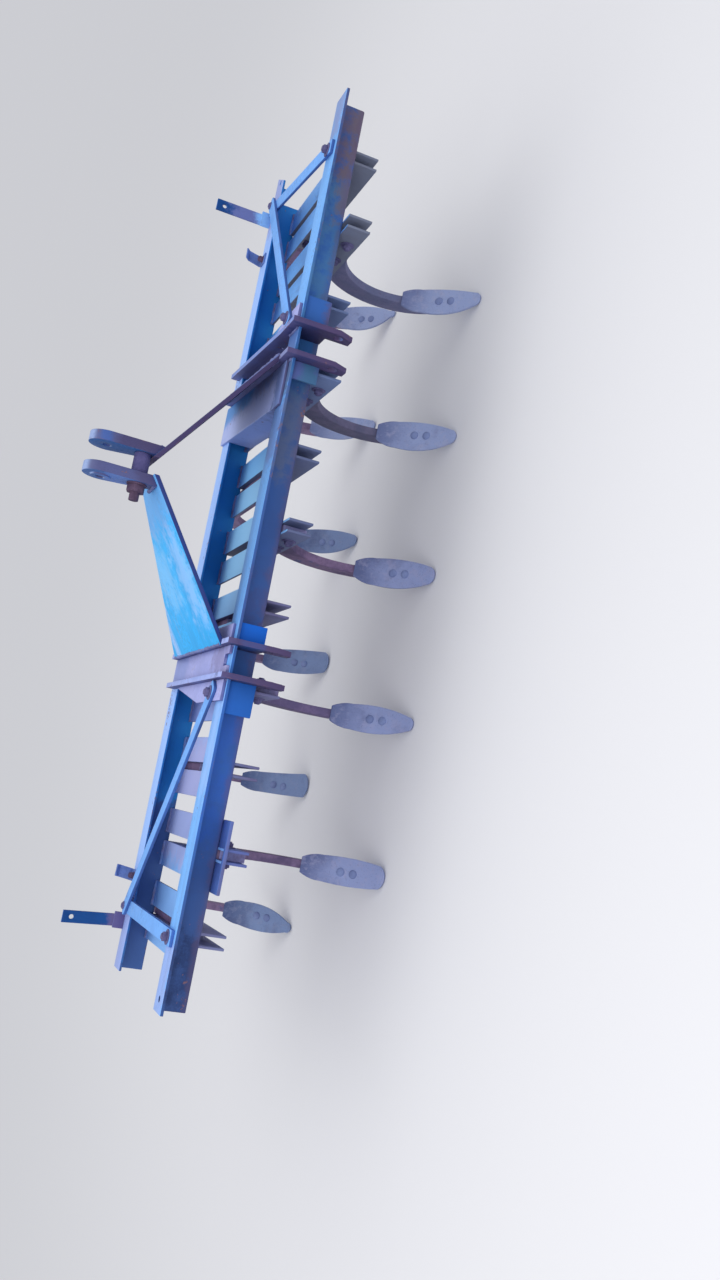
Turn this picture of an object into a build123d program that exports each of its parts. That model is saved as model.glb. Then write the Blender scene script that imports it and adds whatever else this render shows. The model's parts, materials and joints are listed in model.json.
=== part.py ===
from build123d import *
from collections import namedtuple
from math import atan2, cos, hypot, radians, sin, tan
import os

# Tine cultivator for a three-point linkage: two angle-iron beams joined by eleven
# slotted carriers, with a bolted C-shaped tine and shovel in each carrier.
# Millimetres, +X along the beams, +Y from the tractor side to the rear, +Z up.
# The origin is on the ground in the middle of the machine.

# Tines: the C runs back from its head, down, and forward to the shovel
shank_thick = 20.0
shank_depth = 58.0
bend_radius = 146.0
heel_angle = 22.0
back_angle = 15.0
sweep_radius = 293.0
foot_angle = 50.0
foot_depth = 20.0
tip_angle = 66.0
front_row = 300.0
row_step = 650.0
front_grip = 10.0
rear_grip = 160.0

# Shovels
shovel_wall = 8.0
shovel_width = 72.0
shovel_neck = 24.0
shoulder_drop = 52.0
shoulder_share = 0.93
waist_drop = 115.0
tip_length = 16.0
trim_angle = 4.0
trim_top = 6.0

# Beams: angle irons with the flange on top and the web at its rear edge
beam_side = 70.0
beam_wall = 7.0
beam_root = 6.0
beam_step = 502.0
head_clear = 3.8
front_left = 1081.0
front_right = 1036.0
rear_left = 1081.0
rear_right = 1081.0
end_hole = 14.0
end_hole_inset = 28.0
flange_skew = 35.0
web_short = 23.0
web_step = 70.0
web_rest = 20.0

# Carriers: a pair of cross angle irons with a slot between them
pitch = 185.0
station_count = 11
station_x = -4.0
slot_clear = 0.3
slat_rise = 8.0
slat_width = 62.0
slat_wall = 6.0
leg_depth = 66.0
toe_reach = 48.0

# Hitch plates and their lower-link pins
hitch_x = 38.0
link_spacing = 737.0
link_gap = 63.0
link_bore = 22.5
plate_wall = 12.0
plate_rise = 22.0
plate_rear = 540.0
nose_reach = 25.0
nose_width = 28.0
nose_drop = 56.0
nose_height = 34.0
toe_clear = 1.0
link_drop = 24.0
spare_hole = 10.0
spare_low_y = 134.0
spare_low_drop = 31.0
spare_high_y = 170.0
spare_high_drop = 10.0
skew_left = 0.0
skew_right = 4.0

# Mast
mast_height = 441.0
mast_shift = 10.0
ear_gap = 46.0
ear_wall = 22.0
ear_width = 80.0
ear_foot = 44.0
ear_foot_shift = 14.0
ear_back = 70.0
top_bore = 19.5
bush_side = 44.0
bush_wall = 4.0
crossbar_side = 36.0
crossbar_drop = 78.0
crossbar_shift = 10.0
crossbar_seat = 14.0
leg_wall = 10.0
leg_foot_front = 35.0
leg_foot_rear = 504.0
leg_top_front = 20.0
leg_top_rear = 165.0
leg_top_drop = 125.0
ear_tail = 15.0

# Plates and flats on top of the frame
foot_left = 38.0
foot_right = 105.0
foot_wall = 7.0
foot_front = 22.0
flat_wall = 8.0
bridge_front = 6.0
notch_width = 26.0
notch_depth = 34.0
gusset_width = 47.0
gusset_long = 479.0
gusset_short = 222.0
end_bar_width = 35.0
end_bar_front = 15.0
end_bar_rear = 560.0
bar_inset_left = 154.0
bar_inset_right = 144.0
bar_skew = 38.0
brace_width = 36.0
cleat_wall = 8.0
cleat_back = 10.0
cleat_drop = 2.0
outer_cleat = 72.0
inner_cleat = 42.0
strip_wall = 8.0
strip_rim = 12.0
strip_left = 826.0
strip_right = 668.0

# Marker posts on the rear beam
post_width = 30.0
post_wall = 8.0
post_rise = 152.0
post_tail = 50.0
post_hole = 12.0
post_hole_drop = 22.0
post_foot_width = 40.0
post_foot_rise = 26.0
post_inset_left = 113.0
post_inset_right = 130.0
post_lean_left = 4.0
post_lean_right = 0.0

# One row for each tine: how far back it is clamped in its slot, the turn of its shovel,
# the shares of the shovel's width at its waist and tip, and how much the tip is worn away
Tine = namedtuple("Tine", "station slide turn waist tip wear")
tines = [
    Tine(1, -80.0, -5.0, 0.98, 0.38, 0.0),
    Tine(2, -20.0, 2.0, 0.93, 0.74, 0.0),
    Tine(3, 0.0, 5.0, 0.86, 0.94, 0.0),
    Tine(4, -30.0, 0.0, 0.93, 0.48, 0.0),
    Tine(5, 25.0, 4.0, 0.99, 0.84, 0.0),
    Tine(6, -5.0, 0.0, 1.02, 0.60, 2.0),
    Tine(7, -20.0, 4.0, 1.00, 0.50, 0.0),
    Tine(8, 20.0, -2.0, 1.03, 0.50, 0.0),
    Tine(9, 10.0, 4.0, 0.98, 0.46, 0.0),
    Tine(10, 20.0, -1.0, 0.94, 0.48, 0.0),
    Tine(11, 20.0, 4.0, 1.04, 0.24, 0.0),
]

# The end bars lie across the beams, set in from their ends, the right one askew
EndBar = namedtuple("EndBar", "name front_x rear_x")
end_bars = [
    EndBar("end_bar_left", bar_inset_left - front_left, bar_inset_left - rear_left),
    EndBar("end_bar_right", front_right - bar_inset_right, rear_right - bar_inset_right + bar_skew),
]

# Heights that follow from the tine
heel, tip, foot = radians(heel_angle), radians(tip_angle), radians(foot_angle)
head_z = bend_radius * (1 + sin(heel)) + sweep_radius * (sin(tip) - sin(heel))
web_low = head_z + shank_depth + head_clear
frame_top = web_low + beam_side
slat_top = web_low + slat_rise
leg_low = slat_top - leg_depth
plate_top = frame_top + plate_rise
link_z = web_low - link_drop
top_z = link_z + mast_height

# Places from front to rear, with the whole machine centred on the origin
rear_slide = max(tine.slide for tine in tines if tine.station % 2)
front_y = -(front_row + row_step + rear_slide + shank_depth - nose_reach) / 2
front_web = front_y + beam_side - beam_wall
front_back = front_y + beam_side
rear_y = front_y + beam_step
rear_web = rear_y + beam_side - beam_wall
rear_back = rear_y + beam_side
slot = shank_thick + 2 * slot_clear

os.makedirs("parts", exist_ok=True)

# Front and rear beams
Beam = namedtuple("Beam", "name edge left right hole_side")
for beam in (
    Beam("front_beam", front_y, front_left, front_right, -1),
    Beam("rear_beam", rear_y, rear_left, rear_right, 1),
):
    with BuildPart() as angle:
        with BuildSketch(Plane.YZ.offset(-beam.left)) as section:
            with Locations((beam.edge, frame_top)):
                Rectangle(beam_side, beam_wall, align=(Align.MIN, Align.MAX))
            with Locations((beam.edge + beam_side, frame_top)):
                Rectangle(beam_wall, beam_side, align=(Align.MAX, Align.MAX))
            corner = Vector(-beam.left, beam.edge + beam_side - beam_wall, frame_top - beam_wall)
            fillet(section.vertices().sort_by_distance(corner)[0], beam_root)
        extrude(amount=beam.left + beam.right)
        hole_x = -beam.left + end_hole_inset if beam.hole_side < 0 else beam.right - end_hole_inset
        with Locations((hole_x, beam.edge + beam_side / 2, frame_top)):
            Hole(end_hole / 2, depth=beam_wall)
        if beam.hole_side > 0:
            # The right end is torch-cut: the flange askew, the web short and stepped
            with BuildSketch(Plane.XY.offset(frame_top)):
                with BuildLine():
                    Polyline(
                        (beam.right, beam.edge),
                        (beam.right, beam.edge + beam_side),
                        (beam.right - flange_skew, beam.edge),
                        close=True,
                    )
                make_face()
            extrude(amount=-beam_wall, mode=Mode.SUBTRACT)
            with BuildSketch(Plane.XZ.offset(-(beam.edge + beam_side))):
                with BuildLine():
                    Polyline(
                        (beam.right, frame_top - beam_wall),
                        (beam.right - web_short, frame_top - beam_wall),
                        (beam.right - web_short, frame_top - beam_wall - web_rest),
                        (beam.right - web_step, frame_top - beam_wall - web_rest),
                        (beam.right - web_step, web_low),
                        (beam.right, web_low),
                        close=True,
                    )
                make_face()
            extrude(amount=beam_wall + beam_root, mode=Mode.SUBTRACT)
    angle.part.label = beam.name
    export_step(angle.part, f"parts/{beam.name}.step")

# Carriers: the slats are flush flanges, the legs hang down on both sides of the slot
for station in range(1, station_count + 1):
    middle = station_x + (station - (station_count + 1) / 2) * pitch
    toe = toe_reach if station % 2 == 0 else 0.0
    with BuildPart() as carrier:
        with BuildSketch(Plane.XZ.offset(-front_back)) as pair:
            for side in (-1, 1):
                edge = middle + side * slot / 2
                with BuildLine():
                    Polyline(
                        (edge, slat_top),
                        (edge + side * slat_width, slat_top),
                        (edge + side * slat_width, slat_top - slat_wall),
                        (edge + side * slat_wall, slat_top - slat_wall),
                        (edge + side * slat_wall, leg_low),
                        (edge, leg_low),
                        close=True,
                    )
                make_face()
        extrude(amount=-(rear_web - front_back))
        if toe:
            with BuildSketch(Plane.XZ.offset(-(front_back - toe))) as toes:
                for side in (-1, 1):
                    with Locations((middle + side * (slot + slat_wall) / 2, web_low)):
                        Rectangle(slat_wall, web_low - leg_low, align=(Align.CENTER, Align.MAX))
            extrude(amount=-toe)
    name = f"carrier_{station:02d}"
    carrier.part.label = name
    export_step(carrier.part, f"parts/{name}.step")

# Shanks and shovels
for tine in tines:
    front = tine.station % 2 == 0
    row = front_y + front_row + tine.slide + (0.0 if front else row_step)
    head_front = tine.slide + (front_back + front_grip if front else rear_web - rear_grip)
    middle = station_x + (tine.station - (station_count + 1) / 2) * pitch
    side = Plane(origin=(middle, row, head_z), x_dir=(0, 1, 0), z_dir=(1, 0, 0))
    with BuildPart() as shank:
        with BuildSketch(side):
            with BuildLine():
                head = Line((head_front - row, 0), (-bend_radius, 0))
                bend = JernArc(head @ 1, (1, 0), bend_radius, -(90 + heel_angle))
                sweep_arc = JernArc(bend @ 1, bend % 1, sweep_radius, heel_angle - foot_angle)
                heel_point = sweep_arc @ 1 + Vector(cos(foot), -sin(foot)) * foot_depth
                Line(sweep_arc @ 1, heel_point)
                top = Line((head_front - row, shank_depth), (-bend_radius, shank_depth))
                outer = JernArc(top @ 1, (1, 0), bend_radius + shank_depth, -(90 + back_angle))
                TangentArc(outer @ 1, heel_point, tangent=outer % 1)
                Line(head @ 0, top @ 0)
            make_face()
        extrude(amount=shank_thick / 2, both=True)
    name = f"shank_{tine.station:02d}"
    shank.part.label = name
    export_step(shank.part, f"parts/{name}.step")

    # The shovel is a strip of the same sweep, made a little long and trimmed to its outline
    start = Vector(-bend_radius * (1 - cos(heel)), -bend_radius * (1 + sin(heel)))
    chord = 2 * sweep_radius * sin((tip - heel) / 2)
    slope = (heel + tip) / 2
    face = Plane(
        origin=side.from_local_coords((start.X, start.Y, 0)), x_dir=(1, 0, 0), z_dir=(0, -cos(slope), sin(slope))
    ).rotated((0, 0, tine.turn))
    end = chord - tine.wear
    shoulder, waist, tip_width = (shovel_width * share for share in (shoulder_share * tine.waist, tine.waist, tine.tip))
    with BuildPart() as shovel:
        with BuildSketch(side):
            with BuildLine():
                down = Vector(-sin(heel), -cos(heel))
                turn = heel_angle - tip_angle - trim_angle
                back = JernArc(start, down, sweep_radius, turn)
                rise = Vector(-cos(heel), sin(heel)) * shovel_wall
                upper = JernArc(start + rise, down, sweep_radius - shovel_wall, turn)
                Line(back @ 0, upper @ 0)
                Line(back @ 1, upper @ 1)
            make_face()
        extrude(amount=shovel_width, both=True)
        with BuildSketch(face):
            with BuildLine():
                bulge = (shovel_neck + 2 * shoulder) / 6 + 1
                neck_right = ThreePointArc(
                    (shovel_neck / 2, trim_top), (bulge, -shoulder_drop / 3), (shoulder / 2, -shoulder_drop)
                )
                right = ThreePointArc(neck_right @ 1, (waist / 2, -waist_drop), (tip_width / 2, tip_length - end))
                point = ThreePointArc(right @ 1, (0, -end), (-tip_width / 2, tip_length - end))
                left = ThreePointArc(point @ 1, (-waist / 2, -waist_drop), (-shoulder / 2, -shoulder_drop))
                neck_left = ThreePointArc(left @ 1, (-bulge, -shoulder_drop / 3), (-shovel_neck / 2, trim_top))
                Line(neck_left @ 1, neck_right @ 0)
            make_face()
        extrude(amount=waist_drop, both=True, mode=Mode.INTERSECT)
    name = f"shovel_{tine.station:02d}"
    shovel.part.label = name
    export_step(shovel.part, f"parts/{name}.step")

# Hitch plates: each straddles the front beam and drops to the lower-link pin
side_link = link_spacing / 2
half_gap = (link_gap + plate_wall) / 2
Plate = namedtuple("Plate", "name x skew")
plates = [
    Plate("hitch_left_outer", hitch_x - side_link - half_gap, skew_left),
    Plate("hitch_left_inner", hitch_x - side_link + half_gap, skew_left),
    Plate("hitch_right_inner", hitch_x + side_link - half_gap, skew_right),
    Plate("hitch_right_outer", hitch_x + side_link + half_gap, skew_right),
]


def drift(y, skew):
    """How far a plate that was bent aside behind the front beam is out of line at y."""
    return max(0.0, y - front_back) * tan(radians(skew))


def strip(low, high, front, rear, skew):
    """Plan of a strip between two places across the machine, bent aside behind the front beam."""
    aside = drift(rear, skew)
    start = [(low, front), (high, front)]
    bend = [(high, front_back), (low, front_back)] if aside and front < front_back else []
    end = [(high + aside, rear), (low + aside, rear)]
    return Polyline(*start, *bend[:1], *end, *bend[1:], close=True)


nose_low = web_low - nose_drop
nose_back = front_back - toe_reach - toe_clear
link_y = (front_y - nose_reach + nose_back) / 2
spare_holes = [
    (front_y + spare_low_y, frame_top - spare_low_drop),
    (front_y + spare_high_y, frame_top - spare_high_drop),
]
for plate in plates:
    with BuildPart() as hitch:
        with BuildSketch(Plane.YZ.offset(plate.x)):
            with BuildLine():
                Polyline(
                    (front_y - nose_reach, plate_top),
                    (front_y - nose_reach, nose_low + nose_height),
                    (nose_back - nose_width, nose_low),
                    (nose_back, nose_low),
                    (nose_back, web_low),
                    (front_web, web_low),
                    (front_back, slat_top),
                    (rear_y, slat_top),
                    (rear_y, frame_top),
                    (front_y + plate_rear, frame_top),
                    (front_y + plate_rear, plate_top),
                    close=True,
                )
            make_face()
            with Locations((front_y, frame_top)):
                Rectangle(beam_side, beam_wall, align=(Align.MIN, Align.MAX), mode=Mode.SUBTRACT)
            with Locations((front_back, frame_top)):
                Rectangle(beam_wall, beam_side, align=(Align.MAX, Align.MAX), mode=Mode.SUBTRACT)
            with Locations((link_y, link_z)):
                Circle(link_bore / 2, mode=Mode.SUBTRACT)
            if plate is plates[-1]:
                with Locations(*spare_holes):
                    Circle(spare_hole / 2, mode=Mode.SUBTRACT)
        extrude(amount=plate_wall + drift(front_y + plate_rear, plate.skew), both=True)
        with BuildSketch(Plane.XY.offset(nose_low)):
            with BuildLine():
                strip(
                    plate.x - plate_wall / 2,
                    plate.x + plate_wall / 2,
                    front_y - nose_reach,
                    front_y + plate_rear,
                    plate.skew,
                )
            make_face()
        extrude(amount=plate_top - nose_low, mode=Mode.INTERSECT)
    hitch.part.label = plate.name
    export_step(hitch.part, f"parts/{plate.name}.step")

# Bridge plate on top of the frame between the two left hitch plates
with BuildPart() as bridge:
    with BuildSketch(Plane.XY.offset(frame_top)) as outline:
        with Locations((hitch_x - side_link, front_y + bridge_front)):
            Rectangle(link_gap, plate_rear - bridge_front, align=(Align.CENTER, Align.MIN))
            Rectangle(notch_width, notch_depth, align=(Align.CENTER, Align.MIN), mode=Mode.SUBTRACT)
    extrude(amount=flat_wall)
bridge.part.label = "bridge_plate"
export_step(bridge.part, "parts/bridge_plate.step")

# Gussets outside the outer hitch plates, which carry the inner ends of the braces
outer_face = side_link + half_gap + plate_wall / 2
Gusset = namedtuple("Gusset", "name side long short skew")
for gusset in (
    Gusset("gusset_left", -1, gusset_long, gusset_short, skew_left),
    Gusset("gusset_right", 1, gusset_long / 2, gusset_short / 2, skew_right),
):
    with BuildPart() as web:
        near = hitch_x + gusset.side * outer_face
        far = near + gusset.side * gusset_width
        with BuildSketch(Plane.XY.offset(frame_top)):
            with BuildLine():
                Polyline(
                    (near, front_y + bridge_front),
                    (far, front_y + bridge_front),
                    (far, front_y + gusset.short),
                    (near + drift(front_y + gusset.long, gusset.skew), front_y + gusset.long),
                    (near, front_back),
                    close=True,
                )
            make_face()
        extrude(amount=flat_wall)
    web.part.label = gusset.name
    export_step(web.part, f"parts/{gusset.name}.step")

# Mast legs: flat plates that lean in from the inner hitch plates and run up under the ears, the left one
# ended at its ear and the right one run on to the crossbar
foot_x = side_link - half_gap
mast_x = hitch_x + mast_shift
ear_x = ear_gap / 2 + ear_wall
leg_top_z = top_z - leg_top_drop
Leg = namedtuple("Leg", "name hand end skew")
legs = [
    Leg("mast_leg_left", -1, ear_gap / 2, skew_left),
    Leg("mast_leg_right", 1, crossbar_seat, skew_right),
]
for side_leg in legs:
    slant = tan(radians(side_leg.skew))
    foot = hitch_x + side_leg.hand * foot_x + slant * (leg_top_front - beam_side)
    near = mast_x + side_leg.hand * side_leg.end
    lean = atan2(leg_top_z - plate_top, abs(foot - mast_x - side_leg.hand * ear_x))
    near_z = leg_top_z + (ear_x - side_leg.end) * tan(lean)
    foot_half = leg_wall / 2 / sin(lean)
    top_half = leg_wall / 2 / cos(lean)
    with BuildPart() as leg:
        with BuildSketch(Plane.XZ.offset(-(front_y + leg_top_front))):
            with BuildLine():
                Polyline(
                    (foot - foot_half, plate_top),
                    (foot + foot_half, plate_top),
                    (near, near_z + side_leg.hand * top_half),
                    (near, near_z - side_leg.hand * top_half),
                    close=True,
                )
            make_face()
        depth = leg_foot_rear - leg_top_front
        extrude(amount=hypot(depth, depth * slant), dir=(slant, 1, 0))
        with BuildSketch(Plane.XY.offset(plate_top)):
            with BuildLine():
                far = foot + side_leg.hand * foot_half
                Polyline(
                    (far, front_y + leg_foot_front),
                    (near - side_leg.hand, front_y + leg_top_front),
                    (near - side_leg.hand, front_y + leg_top_rear),
                    (far + slant * depth, front_y + leg_foot_rear),
                    (far + slant * depth, front_y + leg_foot_front),
                    close=True,
                )
            make_face()
        extrude(amount=top_z - plate_top, mode=Mode.INTERSECT)
    leg.part.label = side_leg.name
    export_step(leg.part, f"parts/{side_leg.name}.step")

# Clevis ears for the top link, round at the top, drawn in towards the foot and cut to sit on the legs
ear_y = front_y + ear_back
for name, hand, skew in (("mast_ear_left", -1, skew_left), ("mast_ear_right", 1, skew_right)):
    inner_x = mast_x + hand * ear_gap / 2
    slant = tan(radians(skew))
    foot = hitch_x + hand * foot_x + slant * (leg_top_front - beam_side)
    lean = atan2(leg_top_z - plate_top, abs(foot - mast_x - hand * ear_x))
    seat_z = leg_top_z + leg_wall / 2 / cos(lean)
    uphill, along = Vector(-hand * cos(lean), 0, sin(lean)), Vector(slant, 1, 0)
    with BuildPart() as ear:
        with BuildSketch(Plane.YZ.offset(inner_x)):
            with Locations((ear_y, top_z)):
                Circle(ear_width / 2)
            with Locations((ear_y - ear_foot_shift, leg_top_z)):
                Rectangle(ear_foot, ear_tail, align=(Align.CENTER, Align.MIN))
            make_hull()
        extrude(amount=hand * ear_wall)
        split(
            bisect_by=Plane(
                origin=(mast_x + hand * ear_x, front_y + leg_top_front, seat_z),
                x_dir=along,
                z_dir=uphill.cross(along) * -hand,
            ),
            keep=Keep.TOP,
        )
        with BuildSketch(Plane.YZ.offset(inner_x + hand * ear_wall)):
            with Locations((ear_y, top_z)):
                Circle(bush_side / 2)
        extrude(amount=hand * bush_wall)
        with BuildSketch(Plane.YZ.offset(inner_x)):
            with Locations((ear_y, top_z)):
                Circle(top_bore / 2)
        extrude(amount=hand * (ear_wall + bush_wall), mode=Mode.SUBTRACT)
    ear.part.label = name
    export_step(ear.part, f"parts/{name}.step")

# Round crossbar that holds the ears apart
with BuildPart() as crossbar:
    with BuildSketch(Plane.YZ.offset(mast_x - ear_gap / 2)):
        with Locations((ear_y - crossbar_shift, top_z - crossbar_drop)):
            Circle(crossbar_side / 2)
    extrude(amount=ear_gap)
crossbar.part.label = "mast_crossbar"
export_step(crossbar.part, "parts/mast_crossbar.step")

# Mast feet: angles along the inside of the inner hitch plates, the right one wider
Foot = namedtuple("Foot", "name hand width skew")
for angle in (
    Foot("mast_foot_left", -1, foot_left, skew_left),
    Foot("mast_foot_right", 1, foot_right, skew_right),
):
    wall_x = hitch_x + angle.hand * (foot_x - plate_wall / 2)
    edge_x = wall_x - angle.hand * angle.width
    inner_x = edge_x + angle.hand * foot_wall
    with BuildPart() as mast_foot:
        with BuildSketch(Plane.XY.offset(frame_top)):
            with BuildLine():
                strip(min(wall_x, edge_x), max(wall_x, edge_x), front_y + foot_front, rear_back, angle.skew)
            make_face()
        extrude(amount=foot_wall)
        with BuildSketch(Plane.XY.offset(frame_top)):
            with BuildLine():
                strip(min(inner_x, edge_x), max(inner_x, edge_x), front_back, rear_y, angle.skew)
            make_face()
        extrude(amount=-(frame_top - slat_top))
    mast_foot.part.label = angle.name
    export_step(mast_foot.part, f"parts/{angle.name}.step")

# End bars across the tops of the beams
for bar in end_bars:
    with BuildPart() as flat:
        with BuildSketch(Plane.XY.offset(frame_top)):
            with BuildLine():
                half = end_bar_width / 2
                Polyline(
                    (bar.front_x - half, front_y + end_bar_front),
                    (bar.front_x + half, front_y + end_bar_front),
                    (bar.rear_x + half, front_y + end_bar_rear),
                    (bar.rear_x - half, front_y + end_bar_rear),
                    close=True,
                )
            make_face()
        extrude(amount=flat_wall)
    flat.part.label = bar.name
    export_step(flat.part, f"parts/{bar.name}.step")

# Diagonal braces from the rear end of each end bar to the gusset
for name, hand, bar in (("brace_left", -1, end_bars[0]), ("brace_right", 1, end_bars[1])):
    start = Vector(bar.rear_x, front_y + end_bar_rear - brace_width)
    inner = Vector(hitch_x + hand * (outer_face + gusset_width / 2), front_y + beam_side)
    run = inner - start
    reach = hypot(run.X, run.Y)
    with BuildPart() as flat:
        layer = Plane(origin=(start.X, start.Y, frame_top + flat_wall), x_dir=(run.X, run.Y, 0), z_dir=(0, 0, 1))
        with BuildSketch(layer):
            with Locations((reach / 2, 0)):
                Rectangle(reach + brace_width, brace_width)
        extrude(amount=flat_wall)
        fillet(flat.edges().filter_by(Axis.Z), brace_width / 4)
    flat.part.label = name
    export_step(flat.part, f"parts/{name}.step")

# Cleats under the front flange, welded to the hitch plates
Cleat = namedtuple("Cleat", "name x hand width")
cleats = [
    Cleat("cleat_left_outer", plates[0].x, -1, outer_cleat),
    Cleat("cleat_left_inner", plates[1].x, 1, inner_cleat),
    Cleat("cleat_right_inner", plates[2].x, -1, inner_cleat),
    Cleat("cleat_right_outer", plates[3].x, 1, outer_cleat),
]
for cleat in cleats:
    with BuildPart() as plate:
        start = cleat.x + cleat.hand * plate_wall / 2
        with BuildSketch(Plane.XZ.offset(-(front_y + cleat_back))):
            with Locations((start + cleat.hand * cleat.width / 2, frame_top - beam_wall)):
                Rectangle(
                    cleat.width,
                    beam_side - beam_wall - cleat_drop,
                    align=(Align.CENTER, Align.MAX),
                )
        extrude(amount=-cleat_wall)
    plate.part.label = cleat.name
    export_step(plate.part, f"parts/{cleat.name}.step")

# Strip under the front web, notched for the carrier of the second tine
with BuildPart() as strip:
    with BuildSketch(Plane.XY.offset(web_low)):
        with Locations((-strip_left, front_back)):
            Rectangle(strip_left - strip_right, toe_reach + strip_rim, align=(Align.MIN, Align.MAX))
        with Locations((station_x - (station_count - 3) / 2 * pitch, front_back)):
            Rectangle(
                slot + 2 * slat_wall, toe_reach, align=(Align.CENTER, Align.MAX), mode=Mode.SUBTRACT
            )
    extrude(amount=-strip_wall)
strip.part.label = "under_strip"
export_step(strip.part, "parts/under_strip.step")

# Marker posts behind the rear beam, the left one bent over a little
Post = namedtuple("Post", "name x lean")
posts = [
    Post("post_left", post_inset_left - rear_left, post_lean_left),
    Post("post_right", rear_right - post_inset_right, post_lean_right),
]
for stake in posts:
    root = Plane(origin=(stake.x, rear_back, frame_top), x_dir=(1, 0, 0), z_dir=(0, -1, 0))
    half = post_width / 2
    rise = Vector(-sin(radians(stake.lean)), cos(radians(stake.lean)))
    with BuildPart() as post:
        with BuildSketch(root):
            with BuildLine():
                Polyline(
                    (-half, -post_tail),
                    (half, -post_tail),
                    (half, 0),
                    Vector(half, 0) + rise * post_rise,
                    Vector(-half, 0) + rise * post_rise,
                    (-half, 0),
                    close=True,
                )
            make_face()
            with Locations(rise * (post_rise - post_hole_drop)):
                Circle(post_hole / 2, mode=Mode.SUBTRACT)
        extrude(amount=-post_wall)
        with BuildSketch(root):
            Rectangle(post_foot_width, post_foot_rise, align=(Align.CENTER, Align.MIN))
        extrude(amount=post_wall)
    post.part.label = stake.name
    export_step(post.part, f"parts/{stake.name}.step")
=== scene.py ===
"""Looks of a worn tine cultivator: paint, rust, ground steel, bolts and weld seams."""

import json
import logging
import math
from dataclasses import dataclass, field
from enum import Enum
from typing import Iterable, Sequence

import bmesh
import bpy
from mathutils import Matrix, Vector


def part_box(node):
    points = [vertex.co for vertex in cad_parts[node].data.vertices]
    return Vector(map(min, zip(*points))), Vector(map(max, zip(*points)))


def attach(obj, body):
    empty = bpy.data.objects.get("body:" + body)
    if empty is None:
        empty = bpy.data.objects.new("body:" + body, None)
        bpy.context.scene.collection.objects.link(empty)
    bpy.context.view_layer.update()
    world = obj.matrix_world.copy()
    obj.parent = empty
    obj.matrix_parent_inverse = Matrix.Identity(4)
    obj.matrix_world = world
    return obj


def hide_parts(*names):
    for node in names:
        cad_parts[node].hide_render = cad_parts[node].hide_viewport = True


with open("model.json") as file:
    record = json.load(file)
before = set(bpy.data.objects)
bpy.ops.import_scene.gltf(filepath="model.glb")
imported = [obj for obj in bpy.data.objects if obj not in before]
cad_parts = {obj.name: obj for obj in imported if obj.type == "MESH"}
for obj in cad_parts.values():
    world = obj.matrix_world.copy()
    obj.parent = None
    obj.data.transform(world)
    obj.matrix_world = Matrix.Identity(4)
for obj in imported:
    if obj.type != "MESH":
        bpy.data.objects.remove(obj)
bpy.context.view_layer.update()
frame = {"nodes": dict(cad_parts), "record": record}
LOG = logging.getLogger("cultivator")

Triple = tuple[float, float, float]
Range = tuple[float, float]
Seam = tuple[Triple, Triple]

WIDE = 9.0
ANYWHERE: Range = (-WIDE, WIDE)
STRAIGHT: Triple = (1.0, 1.0, 1.0)

# The cells in a metre of the noise that frays the edge of a stain or of a patch of painted light, and how
# many edge widths it frays by
PATCH_GRAIN = 30.0
PATCH_WANDER = 6.0


def srgb(red: int, green: int, blue: int) -> Triple:
    """Turn screen values into the linear colour that renders as them.

    Args:
        red: Red from 0 to 255.
        green: Green from 0 to 255.
        blue: Blue from 0 to 255.

    Returns:
        The linear colour.
    """

    def linear(value: int) -> float:
        """Return one channel as linear light."""
        share = value / 255
        return share / 12.92 if share <= 0.04045 else ((share + 0.055) / 1.055) ** 2.4

    return linear(red), linear(green), linear(blue)


class Side(Enum):
    """The faces that a stain or a patch of painted light lies on."""

    ANY = "any"
    TOP = "top"
    UPRIGHT = "upright"
    FRONT = "front"


@dataclass(frozen=True)
class StainOrLight:
    """A patch of another colour with a ragged edge, which is a real stain or, in places, painted light or
    painted shade.

    Attributes:
        colour: The patch's colour.
        x: Where it lies across the machine.
        y: Where it lies from front to back.
        z: Where it lies in height.
        share: How much it covers what lies under it.
        side: The faces that it lies on.
        soft: The width of its ragged edge in metres.
    """

    colour: Triple
    x: Range = ANYWHERE
    y: Range = ANYWHERE
    z: Range = ANYWHERE
    share: float = 0.85
    side: Side = Side.ANY
    soft: float = 0.012


class Value:
    """A node's output that takes part in Python expressions."""

    def __init__(self, graph: "Graph", socket: bpy.types.NodeSocket) -> None:
        """Wrap an output of a graph's node."""
        self.graph = graph
        self.socket = socket

    def _math(self, operation: str, other: "Value | float", swap: bool = False) -> "Value":
        """Add a Math node on this value and another, which comes first when they are swapped."""
        operands = {0: other, 1: self} if swap else {0: self, 1: other}
        return self.graph.node("ShaderNodeMath", {"operation": operation}, operands)

    def __add__(self, other: "Value | float") -> "Value":
        """Return the sum."""
        return self._math("ADD", other)

    __radd__ = __add__

    def __sub__(self, other: "Value | float") -> "Value":
        """Return the difference."""
        return self._math("SUBTRACT", other)

    def __rsub__(self, other: "Value | float") -> "Value":
        """Return the difference from a number."""
        return self._math("SUBTRACT", other, swap=True)

    def __mul__(self, other: "Value | float") -> "Value":
        """Return the product."""
        return self._math("MULTIPLY", other)

    __rmul__ = __mul__

    def most(self, other: "Value | float") -> "Value":
        """Return the larger of the two."""
        return self._math("MAXIMUM", other)

    def above(self, low: float, high: float) -> "Value":
        """Return a smooth step that rises from 0 at low to 1 at high."""
        ranges = {"From Min": low, "From Max": high}
        settings = {"interpolation_type": "SMOOTHSTEP"}
        return self.graph.node("ShaderNodeMapRange", settings, {"Value": self, **ranges})


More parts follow.
